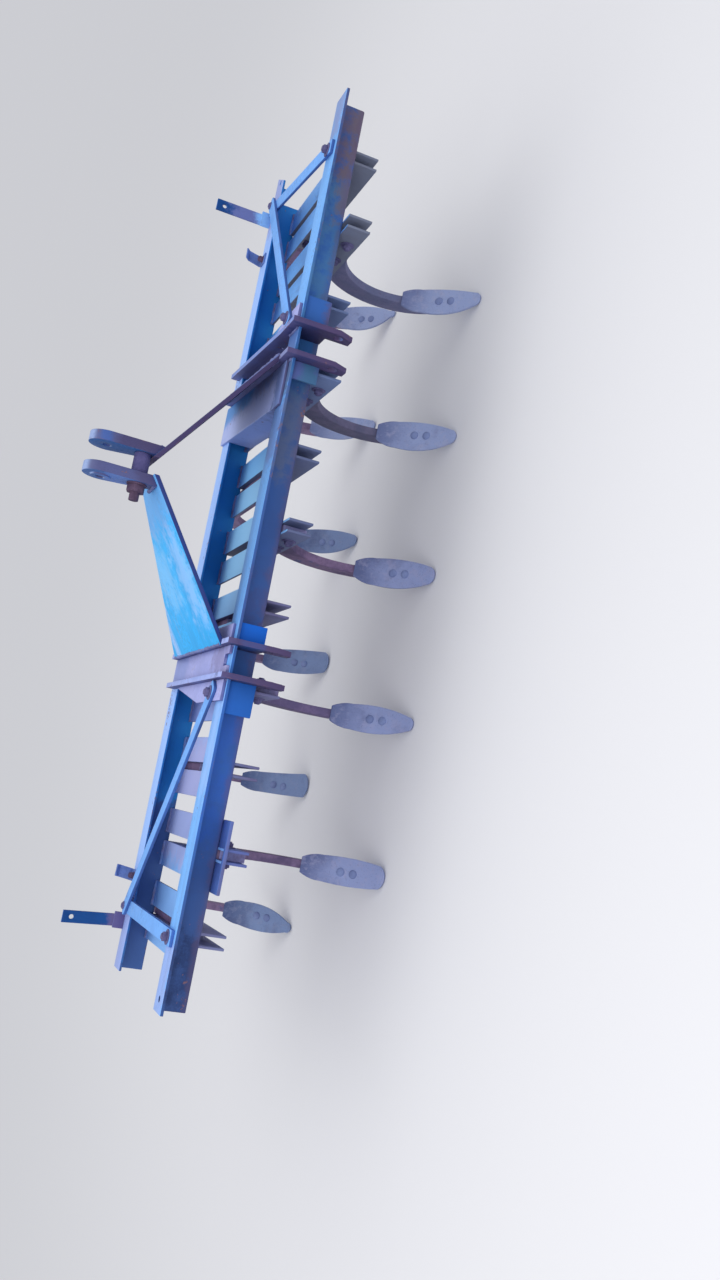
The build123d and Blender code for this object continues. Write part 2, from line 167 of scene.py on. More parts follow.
class Graph:
    """A node tree that is built from typed calls."""

    def __init__(self, tree: bpy.types.NodeTree) -> None:
        """Take up a tree."""
        self.tree = tree

    def node(
        self, kind: str, settings: dict[str, object], values: dict[int | str, object], output: int | str = 0
    ) -> Value:
        """Add one node.

        Args:
            kind: The node's type.
            settings: Properties to set before its sockets.
            values: Numbers, colours or links for its inputs, by name or place.
            output: The output to return.

        Returns:
            The chosen output.
        """
        made = self.tree.nodes.new(kind)
        for key, value in settings.items():
            setattr(made, key, value)
        for key, value in values.items():
            target = made.inputs[key]
            if isinstance(value, Value):
                self.tree.links.new(value.socket, target)
            elif target.type == "RGBA":
                target.default_value = (*value, 1)
            else:
                target.default_value = value
        return Value(self, made.outputs[output])


class Shader(Graph):
    """A material's node tree, from its coordinates to its surface."""

    def __init__(self, name: str) -> None:
        """Start a material with only its output and its surface shader."""
        self.material = bpy.data.materials.new(name)
        self.material.use_nodes = True
        super().__init__(self.material.node_tree)
        self.surface = next(n for n in self.tree.nodes if n.type == "BSDF_PRINCIPLED")

    def mix(self, share: Value | float, first: Value | Triple, second: Value | Triple) -> Value:
        """Return two colours mixed, with the second at a share of 1."""
        return self.node("ShaderNodeMix", {"data_type": "RGBA"}, {0: share, 6: first, 7: second}, 2)

    def place(self, stretch: Triple = STRAIGHT, lean: float = 0.0) -> Value:
        """Return object coordinates, stretched where a pattern runs along the metal.

        Args:
            stretch: The scale along each axis.
            lean: How far the metal rises from level to the right, in radians.

        Returns:
            The coordinates.
        """
        place = self.node("ShaderNodeTexCoord", {}, {}, "Object")
        if lean:
            place = self.node("ShaderNodeMapping", {}, {"Vector": place, "Rotation": (0.0, lean, 0.0)})
        if stretch == STRAIGHT:
            return place
        return self.node("ShaderNodeMapping", {}, {"Vector": place, "Scale": stretch})

    def along(self, where: Value, axis: int) -> Value:
        """Return one axis of a place or direction, with x as 0."""
        return self.node("ShaderNodeSeparateXYZ", {}, {0: where}, axis)

    def stained(self, colour: Value, stains_and_light: Sequence[StainOrLight], top: Value) -> Value:
        """Lay stains, and patches of painted light or painted shade, over a colour.

        Args:
            colour: What lies under them.
            stains_and_light: The stains and patches of painted light or shade, the lowest first.
            top: How far the surface faces up.

        Returns:
            The colour with the stains and painted light laid over it.
        """
        place = self.place()
        axes = [self.along(place, axis) for axis in range(3)]
        ragged = self.noise(place, PATCH_GRAIN, 5.0, 0.68) - 0.5
        faces = {Side.TOP: top, Side.UPRIGHT: 1.0 - top, Side.FRONT: self.forward()}
        for stain in stains_and_light:
            share: Value | float = stain.share
            wander = ragged * (PATCH_WANDER * stain.soft)
            for axis, (low, high) in zip(axes, (stain.x, stain.y, stain.z)):
                if low > -WIDE:
                    share = (axis + wander).above(low - stain.soft, low + stain.soft) * share
                if high < WIDE:
                    share = (high - axis + wander).above(-stain.soft, stain.soft) * share
            if stain.side in faces:
                share = faces[stain.side] * share
            colour = self.mix(share, colour, stain.colour)
        return colour

    def noise(self, where: Value, scale: float, detail: float, rough: float = 0.55) -> Value:
        """Return noise from 0 to 1, with so many cells in a metre and so many octaves."""
        values = {"Vector": where, "Scale": scale, "Detail": detail, "Roughness": rough}
        return self.node("ShaderNodeTexNoise", {}, values)

    def normal(self) -> Value:
        """Return the way that the surface faces."""
        return self.node("ShaderNodeNewGeometry", {}, {}, "Normal")

    def upward(self) -> Value:
        """Return 1 where the surface faces up and 0 where it is upright or below."""
        return self.along(self.normal(), 2).above(0.25, 0.85)

    def forward(self) -> Value:
        """Return 1 where the surface faces the tractor and 0 where it looks sideways, up or back."""
        return (0.0 - self.along(self.normal(), 1)).above(0.45, 0.8)

    def edges(self, radius: float) -> Value:
        """Return a value that grows towards a corner, whose reach is the radius in metres."""
        rounded = self.node("ShaderNodeBevel", {"samples": 6}, {"Radius": radius})
        settings = {"operation": "DOT_PRODUCT"}
        return 1.0 - self.node("ShaderNodeVectorMath", settings, {0: rounded, 1: self.normal()}, "Value")

    def finish(
        self, colour: Value, rough: Value, height: Value, depth: float, gloss: float, metal: float = 0.0
    ) -> bpy.types.Material:
        """Join the worked-out values to the surface shader.

        Args:
            colour: The base colour.
            rough: The roughness.
            height: The relief, from 0 to 1.
            depth: The relief's height in metres.
            gloss: How much light the surface throws back unscattered, where 0.5 is fresh paint.
            metal: How metallic the surface is.

        Returns:
            The finished material.
        """
        sockets = self.surface.inputs
        sockets["Specular IOR Level"].default_value = gloss
        sockets["Metallic"].default_value = metal
        bump = self.node("ShaderNodeBump", {}, {"Height": height, "Distance": depth, "Strength": 0.7})
        for name, value in (("Base Color", colour), ("Roughness", rough), ("Normal", bump)):
            self.tree.links.new(value.socket, sockets[name])
        return self.material


@dataclass(frozen=True)
class WornPaint:
    """Old implement paint, paler on top from sun-bleaching and from painted light from above, chipped to rust
    and dusted with soil.

    Attributes:
        name: The material's name.
        paint: The paint where it is whole and upright.
        shade: The darker, dirtier paint in patches.
        bleached_and_lit: The pale paint on faces that look up, partly sun-bleached and partly painted light
            from above.
        rust: The rust in the chips.
        pale_rust: The dusty rust in them.
        chips: How much paint is gone, from 0 to 1.
        edge: How worn the corners are.
        streak: The stretch of the patches along the piece.
        lean: How far the piece rises from level to the right, in radians.
        scuffs: How much of it is rubbed pale, from 0 to 1.
        scuff: The rubbed paint.
        stains_and_light: Stains and patches of painted light or shade, the lowest first.
    """

    name: str
    paint: Triple
    shade: Triple
    bleached_and_lit: Triple
    rust: Triple = srgb(96, 70, 96)
    pale_rust: Triple = srgb(132, 98, 104)
    chips: float = 0.3
    edge: float = 0.6
    streak: Triple = STRAIGHT
    lean: float = 0.0
    scuffs: float = 0.0
    scuff: Triple = srgb(196, 206, 240)
    stains_and_light: tuple[StainOrLight, ...] = ()

    def build(self) -> bpy.types.Material:
        """Make the painted metal."""
        shader = Shader(self.name)
        along = shader.place(self.streak, self.lean)
        where = shader.place()
        broad = shader.noise(along, 4.0, 4.0)
        patch = shader.noise(along, 17.0, 5.0, 0.62)
        drips = shader.noise(shader.place((1.0, 1.0, 0.12)), 42.0, 4.0, 0.6)
        grain = shader.noise(where, 130.0, 4.0, 0.6)
        top = shader.upward()
        corner = shader.edges(0.004)
        colour = shader.mix(broad.above(0.38, 0.66), self.paint, self.shade)
        colour = shader.mix(drips.above(0.50, 0.72) * 0.45, colour, self.shade)
        # Faces that look up take the pale paint, partly real sun-bleaching and partly painted light from
        # above
        bleach_and_light = top * (0.80 + 0.20 * patch.above(0.36, 0.60))
        colour = shader.mix(bleach_and_light, colour, self.bleached_and_lit)
        if self.scuffs:
            rubbed = 0.74 - 0.24 * self.scuffs
            bare = (broad * 0.5 + patch * 0.5).above(rubbed, rubbed + 0.09)
            colour = shader.mix(bare * 0.75, colour, self.scuff)
        colour = shader.mix((patch * 0.6 + grain * 0.4).above(0.50, 0.66) * 0.3, colour, self.shade)
        colour = shader.stained(colour, self.stains_and_light, top)
        gone = patch * 0.62 + grain * 0.38 + corner * (0.9 * self.edge)
        whole = 0.76 - 0.26 * self.chips
        chip = gone.above(whole, whole + 0.035)
        rusty = shader.mix(grain.above(0.35, 0.65), self.rust, self.pale_rust)
        colour = shader.mix(chip * 0.85, colour, rusty)
        rough = 0.5 + 0.18 * patch + 0.2 * chip
        height = 0.55 + grain * 0.25 - chip * 0.4
        return shader.finish(colour, rough, height, depth=0.0011, gloss=0.18)


@dataclass(frozen=True)
class RustySteel:
    """Bare steel that has rusted, with traces of paint.

    Attributes:
        name: The material's name.
        dark: The oldest rust.
        light: The dusty rust.
        trace: What is left of the paint.
        traces: How much paint is left, from 0 to 1.
        stains_and_light: Stains and patches of painted light or shade, the lowest first.
    """

    name: str
    dark: Triple
    light: Triple
    trace: Triple
    traces: float
    stains_and_light: tuple[StainOrLight, ...] = ()

    def build(self) -> bpy.types.Material:
        """Make the rusty steel."""
        shader = Shader(self.name)
        where = shader.place()
        broad = shader.noise(where, 7.0, 4.0)
        patch = shader.noise(where, 32.0, 5.0, 0.65)
        pits = shader.noise(where, 210.0, 4.0, 0.6)
        corner = shader.edges(0.004)
        top = shader.upward()
        colour = shader.mix((broad * 0.5 + patch * 0.5).above(0.38, 0.62), self.dark, self.light)
        colour = shader.mix(top * 0.35, colour, self.light)
        bare = 0.66 - 0.26 * self.traces
        kept = (broad * 0.55 + patch * 0.45 - corner * 0.4).above(bare, bare + 0.06)
        colour = shader.mix(kept * 0.85, colour, self.trace)
        colour = shader.stained(colour, self.stains_and_light, top)
        colour = shader.mix(pits.above(0.52, 0.7) * 0.45, colour, self.dark)
        rough = 0.68 + 0.2 * patch
        height = 0.5 + patch * 0.35 - pits.above(0.5, 0.72) * 0.35
        return shader.finish(colour, rough, height, depth=0.0014, gloss=0.2)


@dataclass(frozen=True)
class GroundSteel:
    """Shovel steel, ground pale by the soil towards the point and dull above.

    Attributes:
        name: The material's name.
        grey: The bare steel near the point.
        upper: The duller steel round the bolts.
        dark: The stained steel.
        soil: The dried soil.
        stain: How stained it is, from 0 to 1.
        bright: The steel on the worn edges.
        dulled: The heights between which the steel turns dull.
    """

    name: str
    grey: Triple
    upper: Triple
    dark: Triple
    soil: Triple
    stain: float
    bright: Triple = srgb(176, 190, 220)
    dulled: Range = (0.115, 0.215)

    def build(self) -> bpy.types.Material:
        """Make the ground steel."""
        shader = Shader(self.name)
        where = shader.place()
        down = shader.place((3.2, 0.8, 0.8))
        broad = shader.noise(where, 13.0, 4.0, 0.6)
        patch = shader.noise(where, 42.0, 4.0, 0.65)
        scratch = shader.noise(down, 95.0, 4.0, 0.6)
        pits = shader.noise(where, 260.0, 3.0, 0.6)
        corner = shader.edges(0.003)
        height = shader.along(where, 2)
        colour = shader.mix((height + broad * 0.07 + patch * 0.03).above(*self.dulled), self.grey, self.upper)
        colour = shader.mix(broad.above(0.64 - 0.3 * self.stain, 0.78) * 0.65, colour, self.dark)
        colour = shader.mix(patch.above(0.50, 0.66) * 0.45, colour, self.soil)
        colour = shader.mix(scratch.above(0.52, 0.72) * 0.35, colour, self.soil)
        colour = shader.mix(pits.above(0.56, 0.7) * 0.35, colour, self.dark)
        colour = shader.mix((corner * 2.2 * (0.4 + broad)).above(0.18, 0.5) * 0.5, colour, self.bright)
        rough = 0.5 + 0.22 * broad + 0.1 * pits
        relief = 0.5 + scratch * 0.3 - pits.above(0.5, 0.7) * 0.3
        return shader.finish(colour, rough, relief, depth=0.0008, gloss=0.4, metal=0.12)


Finish = WornPaint | RustySteel | GroundSteel


@dataclass
class Finishes:
    """Every finish on the machine, made once and looked up by name."""

    made: dict[str, bpy.types.Material] = field(default_factory=dict)

    def get(self, finish: Finish) -> bpy.types.Material:
        """Return a finish's material, making it the first time."""
        if finish.name not in self.made:
            self.made[finish.name] = finish.build()
        return self.made[finish.name]


# Where the two beams lie from front to back
FRONT_BEAM: Range = (-0.51, -0.43)
REAR_BEAM: Range = (-0.01, WIDE)

BEAM_PAINT = WornPaint(
    "beam_paint",
    paint=srgb(52, 102, 178),
    shade=srgb(58, 84, 140),
    bleached_and_lit=srgb(122, 184, 252),
    chips=0.58,
    streak=(0.35, 1.0, 1.0),
    stains_and_light=(
        StainOrLight(srgb(38, 56, 102), x=(-WIDE, -0.93), y=FRONT_BEAM, side=Side.UPRIGHT, soft=0.03),
        StainOrLight(srgb(48, 96, 190), x=(-0.72, -0.42), y=FRONT_BEAM, share=0.5, side=Side.UPRIGHT, soft=0.03),
        StainOrLight(srgb(70, 76, 126), x=(-0.30, -0.14), y=FRONT_BEAM, share=0.5, side=Side.UPRIGHT, soft=0.03),
        StainOrLight(srgb(88, 102, 136), x=(0.12, 0.32), y=FRONT_BEAM, share=0.8, side=Side.UPRIGHT, soft=0.03),
        StainOrLight(srgb(52, 112, 166), x=(0.32, 0.50), y=FRONT_BEAM, share=0.6, side=Side.UPRIGHT, soft=0.03),
        StainOrLight(srgb(78, 128, 170), x=(0.50, 0.84), y=FRONT_BEAM, share=0.65, side=Side.UPRIGHT, soft=0.03),
        StainOrLight(srgb(100, 88, 114), x=(0.86, WIDE), y=FRONT_BEAM, side=Side.UPRIGHT, soft=0.03),
        StainOrLight(srgb(112, 98, 108), (0.74, WIDE), FRONT_BEAM, (-WIDE, 0.447), share=0.7, side=Side.UPRIGHT),
        StainOrLight(srgb(94, 82, 116), y=FRONT_BEAM, z=(-WIDE, 0.431), share=0.45, side=Side.UPRIGHT, soft=0.008),
        StainOrLight(srgb(164, 176, 232), x=(-WIDE, -0.93), y=FRONT_BEAM, share=0.6, side=Side.TOP, soft=0.02),
        StainOrLight(srgb(158, 192, 248), x=(-0.62, -0.40), y=FRONT_BEAM, share=0.6, side=Side.TOP, soft=0.03),
        StainOrLight(srgb(110, 132, 194), x=(0.13, 0.26), y=FRONT_BEAM, share=0.7, side=Side.TOP, soft=0.02),
        StainOrLight(srgb(88, 102, 142), x=(0.27, 0.37), y=FRONT_BEAM, side=Side.TOP, soft=0.016),
        StainOrLight(srgb(78, 104, 170), x=(0.37, 0.47), y=FRONT_BEAM, side=Side.TOP, soft=0.016),
        StainOrLight(srgb(138, 146, 192), x=(0.93, WIDE), y=FRONT_BEAM, share=0.7, side=Side.TOP, soft=0.025),
        # The rear web's blue paint, made brighter as painted light against the shade under the rear flange
        StainOrLight(srgb(32, 128, 208), y=REAR_BEAM, side=Side.FRONT, soft=0.01),
        StainOrLight(srgb(68, 84, 138), x=(-WIDE, -0.66), y=REAR_BEAM, share=0.8, side=Side.FRONT, soft=0.03),
        StainOrLight(srgb(160, 194, 255), y=REAR_BEAM, side=Side.TOP, soft=0.01),
        StainOrLight(srgb(152, 160, 216), x=(-WIDE, -0.84), y=REAR_BEAM, share=0.65, side=Side.TOP, soft=0.025),
        StainOrLight(srgb(148, 144, 192), x=(0.90, WIDE), y=REAR_BEAM, share=0.6, side=Side.TOP, soft=0.025),
    ),
)
SLAT_PAINT = WornPaint(
    "slat_paint",
    paint=srgb(112, 118, 160),
    shade=srgb(98, 92, 130),
    bleached_and_lit=srgb(118, 180, 248),
    chips=0.34,
    streak=(1.0, 0.5, 1.0),
    stains_and_light=(
        StainOrLight(srgb(76, 106, 184), x=(-0.80, -0.66), share=0.5, side=Side.UPRIGHT),
        StainOrLight(srgb(80, 98, 132), x=(-0.10, 0.28), share=0.55, side=Side.UPRIGHT),
        # Painted light on the carrier legs from x 0.28 to 0.62, which stand in shade
        StainOrLight(srgb(92, 124, 168), x=(0.28, 0.62), share=0.5, side=Side.UPRIGHT),
        StainOrLight(srgb(112, 120, 130), x=(0.62, 1.10), share=0.65, side=Side.UPRIGHT),
        StainOrLight(srgb(142, 192, 254), x=(-1.10, -0.64), side=Side.TOP),
        StainOrLight(srgb(176, 190, 244), x=(-0.64, -0.46), side=Side.TOP),
        StainOrLight(srgb(156, 170, 234), x=(-0.46, -0.28), side=Side.TOP),
        StainOrLight(srgb(178, 180, 230), x=(-0.80, -0.50), y=(-0.36, WIDE), share=0.7, side=Side.TOP, soft=0.03),
        StainOrLight(srgb(92, 104, 160), x=(-0.28, -0.235), side=Side.TOP, soft=0.006),
        StainOrLight(srgb(156, 208, 254), x=(-0.235, -0.10), side=Side.TOP, soft=0.006),
        # Pale slat tops under the left mast leg, at full strength and brighter still as painted light against
        # the leg's shadow
        StainOrLight(srgb(152, 210, 255), x=(-0.10, 0.181), share=1.0, side=Side.TOP, soft=0.006),
        StainOrLight(srgb(134, 200, 255), x=(0.181, 0.28), share=1.0, side=Side.TOP, soft=0.006),
        StainOrLight(srgb(116, 134, 182), x=(0.28, 0.366), side=Side.TOP, soft=0.006),
        StainOrLight(srgb(84, 106, 142), x=(0.366, 0.46), side=Side.TOP, soft=0.006),
        StainOrLight(srgb(90, 114, 182), x=(0.46, 0.551), side=Side.TOP, soft=0.006),
        StainOrLight(srgb(116, 182, 248), x=(0.551, 0.64), side=Side.TOP, soft=0.006),
    ),
)
FLAT_PAINT = WornPaint(
    "flat_paint",
    paint=srgb(72, 112, 186),
    shade=srgb(64, 92, 152),
    bleached_and_lit=srgb(120, 178, 250),
    chips=0.34,
    scuffs=0.6,
    scuff=srgb(160, 200, 252),
)
MAST_PAINT = WornPaint(
    "mast_paint",
    paint=srgb(44, 62, 126),
    shade=srgb(46, 48, 96),
    bleached_and_lit=srgb(58, 182, 252),
    rust=srgb(70, 66, 104),
    chips=0.2,
    edge=0.7,
    streak=(0.16, 1.0, 1.0),
    lean=math.radians(34.0),
    scuffs=0.9,
    scuff=srgb(184, 208, 252),
    stains_and_light=(
        StainOrLight(srgb(172, 204, 250), x=(-0.25, -0.08), y=(-0.46, -0.36), share=0.5, side=Side.TOP, soft=0.035),
        StainOrLight(srgb(150, 206, 252), x=(-0.20, -0.08), y=(-0.30, -0.16), share=0.5, side=Side.TOP, soft=0.04),
        StainOrLight(srgb(150, 160, 214), x=(-0.06, WIDE), share=0.35, side=Side.TOP, soft=0.03),
    ),
)
FAR_LEG_PAINT = WornPaint(
    "far_leg_paint",
    paint=srgb(68, 60, 100),
    shade=srgb(54, 46, 80),
    bleached_and_lit=srgb(70, 150, 226),
    rust=srgb(84, 64, 92),
    chips=0.5,
    edge=0.8,
    streak=(0.22, 1.0, 1.0),
    lean=math.radians(-37.0),
    scuffs=0.7,
    scuff=srgb(150, 184, 236),
)
CHALK_PAINT = WornPaint(
    "chalk_paint",
    paint=srgb(108, 120, 178),
    shade=srgb(94, 94, 146),
    bleached_and_lit=srgb(170, 176, 232),
    chips=0.42,
    scuffs=0.8,
    scuff=srgb(198, 196, 240),
    stains_and_light=(
        StainOrLight(srgb(120, 108, 150), x=(-0.36, -0.30), y=(-0.50, -0.36), share=0.45, side=Side.TOP, soft=0.02),
        StainOrLight(srgb(112, 140, 206), x=(-0.40, -0.26), y=(-0.10, WIDE), share=0.4, side=Side.TOP, soft=0.03),
    ),
)
RIGHT_FOOT_PAINT = WornPaint(
    "right_foot_paint",
    paint=srgb(92, 98, 142),
    shade=srgb(84, 82, 118),
    bleached_and_lit=srgb(118, 138, 194),
    chips=0.46,
    scuffs=0.6,
    scuff=srgb(140, 162, 218),
    stains_and_light=(
        # The foot's pale paint, spread wider and paler as painted light over the right mast leg's shadow
        StainOrLight(srgb(142, 162, 222), x=(0.25, 0.355), y=(-0.42, WIDE), share=0.8, soft=0.02),
        StainOrLight(srgb(182, 194, 244), x=(0.25, 0.340), y=(-0.42, WIDE), share=0.7, side=Side.TOP, soft=0.02),
        StainOrLight(srgb(62, 140, 212), x=(0.35, 0.42), y=(-0.20, WIDE), share=0.75, side=Side.TOP, soft=0.018),
        StainOrLight(srgb(100, 90, 116), x=(0.35, 0.44), y=(-0.40, -0.24), share=0.55, side=Side.TOP, soft=0.03),
    ),
)
STRIP_PAINT = WornPaint("strip_paint", srgb(92, 110, 176), srgb(92, 96, 140), srgb(94, 126, 200), chips=0.5)
CLEAT_PAINT = WornPaint(
    "cleat_paint",
    paint=srgb(12, 98, 204),
    shade=srgb(16, 88, 184),
    bleached_and_lit=srgb(60, 120, 200),
    chips=0.2,
    stains_and_light=(
        StainOrLight(srgb(44, 94, 162), x=(-WIDE, -0.35), share=0.5),
        StainOrLight(srgb(90, 94, 134), x=(0.30, 0.40), share=0.75),
        StainOrLight(srgb(40, 110, 130), x=(0.30, 0.40), z=(0.42, 0.46), share=0.5),
        StainOrLight(srgb(56, 100, 168), x=(0.45, WIDE), share=0.8),
        StainOrLight(srgb(96, 80, 106), x=(0.45, WIDE), z=(-WIDE, 0.43), share=0.7),
    ),
)
HITCH_PAINT = WornPaint(
    "hitch_paint",
    paint=srgb(88, 98, 156),
    shade=srgb(80, 78, 124),
    bleached_and_lit=srgb(166, 182, 240),
    rust=srgb(96, 70, 100),
    chips=0.6,
    stains_and_light=(
        StainOrLight(srgb(54, 58, 104), y=(-WIDE, -0.44), z=(-WIDE, 0.50)),
        StainOrLight(srgb(84, 66, 100), y=(-WIDE, -0.44), z=(-WIDE, 0.44), share=0.5, soft=0.02),
        StainOrLight(srgb(40, 88, 160), x=(-0.31, -0.27), y=(-WIDE, -0.47), z=(0.43, 0.48), share=0.6),
        StainOrLight(srgb(96, 96, 138), x=(0.34, 0.42), share=0.6, side=Side.TOP, soft=0.02),
        StainOrLight(srgb(116, 140, 204), x=(0.42, WIDE), share=0.8, side=Side.TOP, soft=0.02),
        StainOrLight(srgb(86, 70, 108), y=(-WIDE, -0.47), share=0.5, side=Side.FRONT, soft=0.02),
    ),
)
POST_PAINT = WornPaint(
    "post_paint",
    paint=srgb(12, 74, 142),
    shade=srgb(14, 62, 122),
    bleached_and_lit=srgb(84, 130, 204),
    chips=0.2,
    stains_and_light=(
        StainOrLight(srgb(110, 118, 174), x=(0.5, WIDE), z=(-WIDE, 0.60), soft=0.02),
        StainOrLight(srgb(138, 194, 252), x=(0.5, WIDE), z=(-WIDE, 0.53), share=0.8, soft=0.014),
        StainOrLight(srgb(122, 100, 142), x=(-WIDE, -0.5), z=(-WIDE, 0.53), share=0.6, soft=0.014),
    ),
)
EAR_PAINT = WornPaint(
    "ear_paint",
    paint=srgb(66, 100, 158),
    shade=srgb(60, 84, 136),
    bleached_and_lit=srgb(150, 170, 214),
    rust=srgb(88, 74, 112),
    chips=0.55,
    stains_and_light=(
        StainOrLight(srgb(38, 92, 156), x=(0.06, WIDE), y=(-0.47, WIDE), share=0.7, side=Side.UPRIGHT, soft=0.014),
        StainOrLight(srgb(98, 128, 196), x=(-WIDE, 0.03), z=(0.76, 0.83), share=0.6, side=Side.UPRIGHT, soft=0.016),
        StainOrLight(srgb(84, 84, 126), side=Side.FRONT, soft=0.016),
        StainOrLight(srgb(64, 52, 88), x=(0.06, WIDE), z=(0.72, 0.82), share=0.6, side=Side.FRONT, soft=0.016),
        StainOrLight(srgb(40, 104, 190), x=(0.06, WIDE), z=(0.835, 0.86), share=0.4, side=Side.FRONT, soft=0.010),
        StainOrLight(srgb(74, 66, 102), z=(-WIDE, 0.765), share=0.6, soft=0.016),
    ),
)
SHANK_RUST = RustySteel(
    "shank_rust",
    dark=srgb(90, 78, 112),
    light=srgb(134, 112, 146),
    trace=srgb(78, 96, 146),
    traces=0.22,
    stains_and_light=(
        # Painted light on the front of the shank tops, which stand in shade between the carrier legs
        StainOrLight(srgb(142, 146, 196), z=(0.35, WIDE), side=Side.FRONT, soft=0.03),
        StainOrLight(srgb(112, 104, 148), x=(-0.46, -0.28), share=0.4),
        StainOrLight(srgb(92, 104, 130), x=(0.27, 0.46), share=0.55),
        StainOrLight(srgb(110, 124, 160), x=(0.64, 0.83), share=0.6),
    ),
)
BAR_RUST = RustySteel("bar_rust", srgb(74, 72, 118), srgb(100, 94, 142), srgb(70, 92, 156), 0.3)
BOLT_RUST = RustySteel("bolt_rust", srgb(74, 72, 112), srgb(112, 108, 150), srgb(84, 112, 172), 0.25)
NUT_RUST = RustySteel("nut_rust", srgb(62, 48, 70), srgb(100, 80, 104), srgb(70, 72, 110), 0.1)
CLIP_RUST = RustySteel("clip_rust", srgb(76, 96, 150), srgb(110, 134, 196), srgb(84, 118, 184), 0.4)
STUD_STEEL = RustySteel("stud_steel", srgb(102, 114, 158), srgb(124, 138, 182), srgb(96, 128, 184), 0.3)
WELD_RUST = RustySteel("weld_rust", srgb(88, 92, 138), srgb(130, 138, 188), srgb(110, 146, 210), 0.5)
SHOVEL_GREY = GroundSteel(
    "shovel_grey", srgb(138, 150, 194), srgb(88, 100, 146), srgb(88, 92, 132), srgb(152, 154, 190), 0.5
)
SHOVEL_PALE = GroundSteel(
    "shovel_pale", srgb(148, 162, 204), srgb(104, 116, 162), srgb(104, 106, 144), srgb(164, 168, 200), 0.45
)
SHOVEL_DULL = GroundSteel(
    "shovel_dull", srgb(120, 140, 182), srgb(70, 86, 132), srgb(82, 88, 126), srgb(134, 144, 178), 0.55
)


@dataclass(frozen=True)
class Tines:
    """The C-shaped tines as the metal was bent, in metres, with angles in degrees below level."""

    pitch: float = 0.185
    shift: float = -0.004
    count: int = 11
    bend_radius: float = 0.146
    sweep_radius: float = 0.293
    heel_angle: float = 22.0
    shovel_wall: float = 0.008
    shank_depth: float = 0.058
    shank_thick: float = 0.020
    bolt_angles: Range = (42.0, 48.6)

    def stations(self) -> range:
        """Return the stations, counted from the left."""
        return range(1, self.count + 1)

    def middle(self, station: int) -> float:
        """Return a station's place across the machine."""
        return self.shift + (station - (self.count + 1) / 2) * self.pitch

    def head_z(self, station: int) -> float:
        """Return the underside of a shank's head."""
        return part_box(f"shank_{station:02d}")[1][2] - self.shank_depth

    def row(self, station: int) -> float:
        """Return where the inside of a C is furthest back."""
        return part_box(f"shank_{station:02d}")[1][1] - self.shank_depth

    def on_shovel(self, station: int, angle: float) -> tuple[Triple, Triple]:
        """Find a place on the front of a shovel.

        Args:
            station: The tine's station.
            angle: The place on the sweep, in degrees below level.

        Returns:
            The place and the direction that the face looks in.
        """
        heel = math.radians(self.heel_angle)
        turn = math.radians(angle)
        start_y = self.row(station) - self.bend_radius * (1 - math.cos(heel))
        start_z = self.head_z(station) - self.bend_radius * (1 + math.sin(heel))
        centre_y = start_y - self.sweep_radius * math.cos(heel)
        centre_z = start_z + self.sweep_radius * math.sin(heel)
        reach = self.sweep_radius - self.shovel_wall
        place = (self.middle(station), centre_y + reach * math.cos(turn), centre_z - reach * math.sin(turn))
        return place, (0.0, -math.cos(turn), math.sin(turn))


def object_from(name: str, mesh: bpy.types.Mesh) -> bpy.types.Object:
    """Put a mesh in the scene as an object at the origin."""
    made = bpy.data.objects.new(name, mesh)
    bpy.context.scene.collection.objects.link(made)
    return made


def to_plain_mesh(source: bpy.types.Object, name: str) -> bpy.types.Object:
    """Turn an object with modifiers into a plain mesh piece, and remove it.

    Args:
        source: The object whose evaluated mesh is wanted.
        name: The new piece's name.

    Returns:
        The new piece.
    """
    graph = bpy.context.evaluated_depsgraph_get()
    mesh = bpy.data.meshes.new_from_object(source.evaluated_get(graph))
    mesh.name = name
    made = object_from(name, mesh)
    bpy.data.objects.remove(source)
    return made


def carry(piece: bpy.types.Object) -> None:
    """Let the machine carry a piece of bare metal that has no solid of its own."""
    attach(piece, "root")
    LOG.info("made %s with %d faces", piece.name, len(piece.data.polygons))


# Corners nearer than SAME_PLACE are merged, edges that turn less than FLAT are dissolved,
# those that turn more than SHARP are rounded, and the shading breaks past CREASE
SAME_PLACE = 1e-6
FLAT = math.radians(0.6)
SHARP = math.radians(32.0)
CREASE = math.radians(38.0)


def soften(piece: bpy.types.Object, width: float) -> None:
    """Round the sharp edges of a piece and shade it smooth between them.

    Args:
        piece: The piece to finish.
        width: The width of the rounding in metres.
    """
    mesh = piece.data
    work = bmesh.new()
    work.from_mesh(mesh)
    bmesh.ops.remove_doubles(work, verts=work.verts, dist=SAME_PLACE)
    bmesh.ops.dissolve_limit(work, angle_limit=FLAT, verts=work.verts, edges=work.edges)
    sharp = [edge for edge in work.edges if len(edge.link_faces) == 2 and edge.calc_face_angle(0.0) > SHARP]
    rounding = {"offset": width, "segments": 2, "profile": 0.5, "affect": "EDGES", "clamp_overlap": True}
    bmesh.ops.bevel(work, geom=sharp, material=-1, **rounding)
    for face in work.faces:
        face.smooth = True
    work.to_mesh(mesh)
    work.free()
    mesh.set_sharp_from_angle(angle=CREASE)
    mesh.update()


